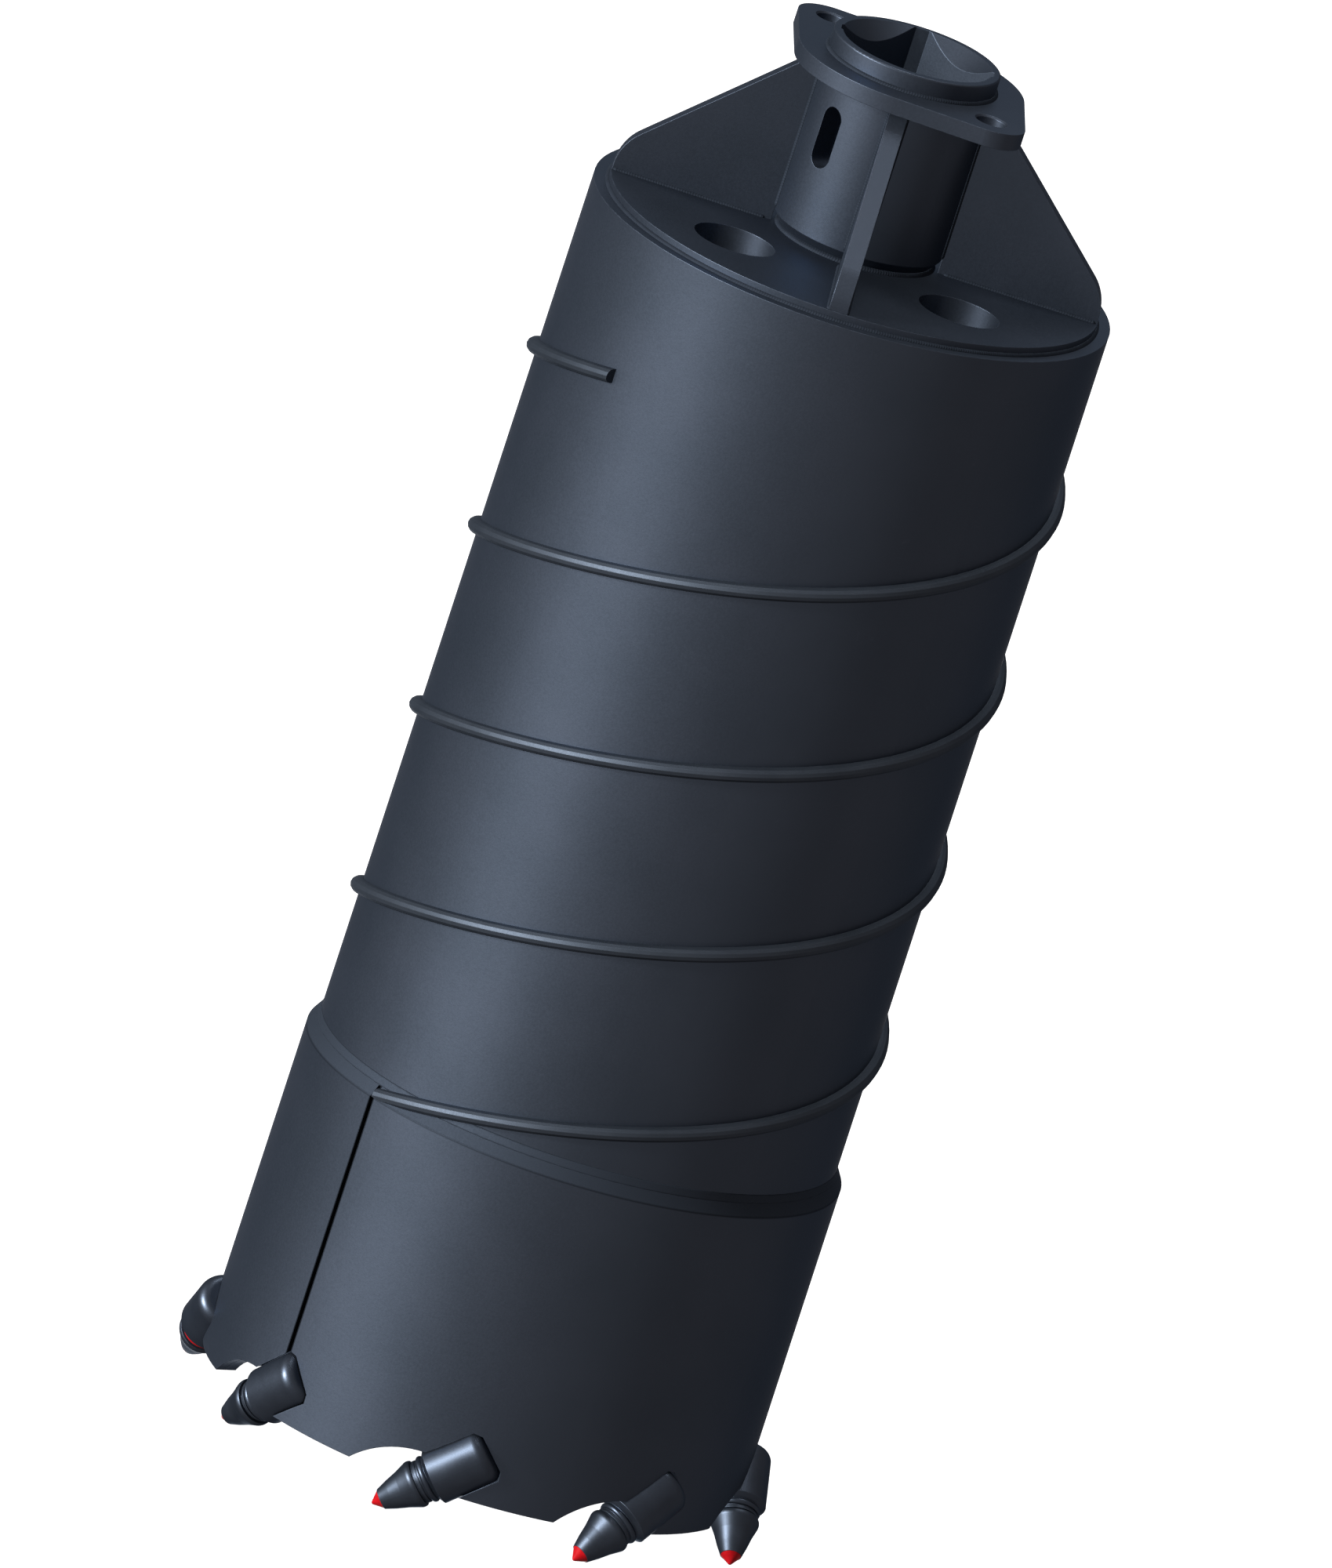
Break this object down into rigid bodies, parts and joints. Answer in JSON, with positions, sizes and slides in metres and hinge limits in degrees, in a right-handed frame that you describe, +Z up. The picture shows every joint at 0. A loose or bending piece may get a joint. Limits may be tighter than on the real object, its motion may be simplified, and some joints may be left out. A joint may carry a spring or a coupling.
{
  "type": "core drill bit",
  "caption": "Steel rock core barrel for a rotary piling rig, with round-shank bits round its rim, spiral wear bars, a square drive box, gussets and a vented top plate.",
  "frame": {"origin": "on the barrel's axis, in the plane that the gauge bits' points stand on", "axes": "+Z up the barrel's axis towards the drive box, +X towards one ear of the box flange, the pin slots open along Y"},
  "size_m": [0.96, 0.96, 2.5041],
  "materials": {
    "barrel_steel": "satin, dark blue grey",
    "holder_steel": "satin, dark blue grey",
    "bit_steel": "semi-gloss, dark blue grey",
    "red_carbide": "red coated carbide",
    "red_washer": "red",
    "spring_steel": "bare spring steel"
  },
  "bodies": {
    "barrel": {"barrel_shell": "barrel_steel", "top_plate": "barrel_steel", "drive_box": "barrel_steel", "box_flange": "barrel_steel", "gusset_1": "barrel_steel", "gusset_2": "barrel_steel", "gusset_3": "barrel_steel", "gusset_4": "barrel_steel", "shoe_half_1": "barrel_steel", "shoe_half_2": "barrel_steel", "wear_bar_1": "barrel_steel", "wear_bar_2": "barrel_steel", "holder_1": "holder_steel", "holder_2": "holder_steel", "holder_3": "holder_steel", "holder_4": "holder_steel", "holder_5": "holder_steel", "holder_6": "holder_steel", "holder_7": "holder_steel", "holder_8": "holder_steel", "retaining_sleeve_1": "spring_steel", "retaining_sleeve_2": "spring_steel", "retaining_sleeve_3": "spring_steel", "retaining_sleeve_4": "spring_steel", "retaining_sleeve_5": "spring_steel", "retaining_sleeve_6": "spring_steel", "retaining_sleeve_7": "spring_steel", "retaining_sleeve_8": "spring_steel"},
    "bit_1": {"bit_body_1": "bit_steel", "carbide_tip_1": "red_carbide", "thrust_washer_1": "bit_steel"},
    "bit_2": {"bit_body_2": "bit_steel", "carbide_tip_2": "red_carbide", "thrust_washer_2": "bit_steel"},
    "bit_3": {"bit_body_3": "bit_steel", "carbide_tip_3": "red_carbide", "thrust_washer_3": "bit_steel"},
    "bit_4": {"bit_body_4": "bit_steel", "carbide_tip_4": "red_carbide", "thrust_washer_4": "bit_steel"},
    "bit_5": {"bit_body_5": "bit_steel", "carbide_tip_5": "red_carbide", "thrust_washer_5": "bit_steel"},
    "bit_6": {"bit_body_6": "bit_steel", "carbide_tip_6": "red_carbide", "thrust_washer_6": "bit_steel"},
    "bit_7": {"bit_body_7": "bit_steel", "carbide_tip_7": "red_carbide", "thrust_washer_7": "bit_steel"},
    "bit_8": {"bit_body_8": "bit_steel", "carbide_tip_8": "red_carbide", "thrust_washer_8": "red_washer"}
  },
  "joints": [
    {"name": "bit_spin_1", "type": "hinge", "parent": "barrel", "child": "bit_1", "pos_m": [-0.04577, -0.432, 0.07286], "axis": [0.7373, 0, 0.6756], "continuous": true},
    {"name": "bit_spin_2", "type": "hinge", "parent": "barrel", "child": "bit_2", "pos_m": [0.2731, -0.33784, 0.07286], "axis": [0.5213, 0.5213, 0.6756], "continuous": true},
    {"name": "bit_spin_3", "type": "hinge", "parent": "barrel", "child": "bit_3", "pos_m": [0.432, -0.04577, 0.07286], "axis": [0, 0.7373, 0.6756], "continuous": true},
    {"name": "bit_spin_4", "type": "hinge", "parent": "barrel", "child": "bit_4", "pos_m": [0.35537, 0.28816, 0.06886], "axis": [-0.6218, 0.3961, 0.6756], "continuous": true},
    {"name": "bit_spin_5", "type": "hinge", "parent": "barrel", "child": "bit_5", "pos_m": [0.04577, 0.432, 0.07286], "axis": [-0.7373, 0, 0.6756], "continuous": true},
    {"name": "bit_spin_6", "type": "hinge", "parent": "barrel", "child": "bit_6", "pos_m": [-0.2731, 0.33784, 0.07286], "axis": [-0.5213, -0.5213, 0.6756], "continuous": true},
    {"name": "bit_spin_7", "type": "hinge", "parent": "barrel", "child": "bit_7", "pos_m": [-0.432, 0.04577, 0.07286], "axis": [0, -0.7373, 0.6756], "continuous": true},
    {"name": "bit_spin_8", "type": "hinge", "parent": "barrel", "child": "bit_8", "pos_m": [-0.35537, -0.28816, 0.06886], "axis": [0.6218, -0.3961, 0.6756], "continuous": true}
  ]
}
